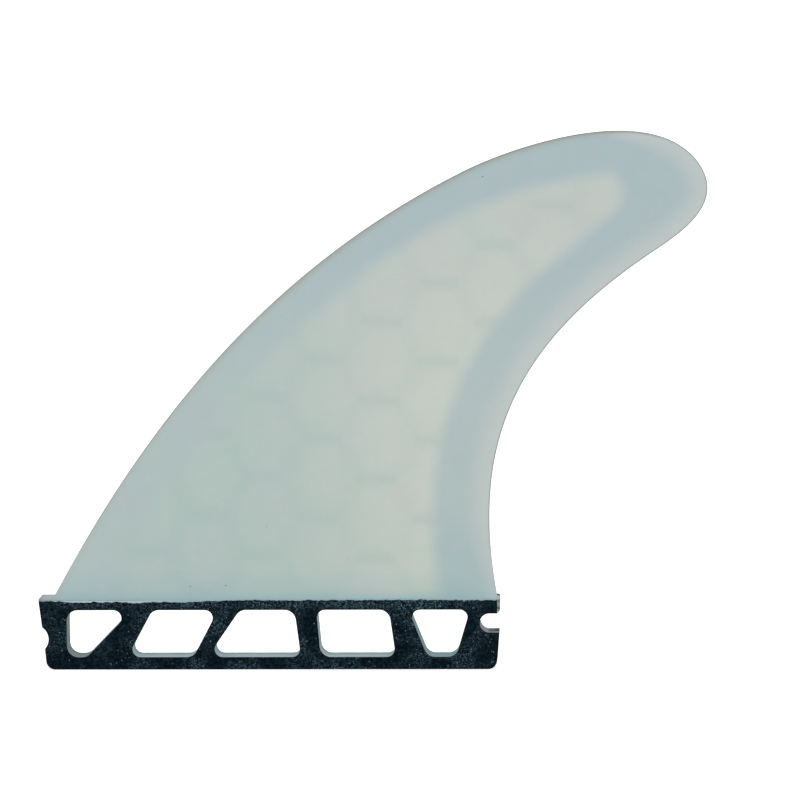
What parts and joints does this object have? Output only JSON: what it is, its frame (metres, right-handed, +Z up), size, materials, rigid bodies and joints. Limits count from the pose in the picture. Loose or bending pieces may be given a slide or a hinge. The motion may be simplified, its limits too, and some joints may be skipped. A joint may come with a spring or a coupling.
{
  "type": "surfboard fin",
  "caption": "Raked surfboard side fin in pale glass-fibre laminate with a honeycomb-patterned core, flat inside and foiled outside, on a slotted black-coated base tab.",
  "frame": {"origin": "middle of the tab's ledge, level with the board's bottom surface: half-way along the tab and half-way through its thickness", "axes": "+X aft, towards the trailing edge and the tip; +Y outwards, to the foiled side; +Z up the blade, away from the tab"},
  "size_m": [0.1668, 0.0165, 0.1325],
  "materials": {
    "laminate": "sanded satin glass-fibre laminate, pale blue-green grey and translucent",
    "core": "matt off-white core mat, seen through the laminate",
    "coat": "rough speckled black coat"
  },
  "bodies": {
    "root": {"laminate": "laminate", "honeycomb_core": "core", "inner_coat": "coat", "outer_coat": "coat"}
  },
  "joints": []
}
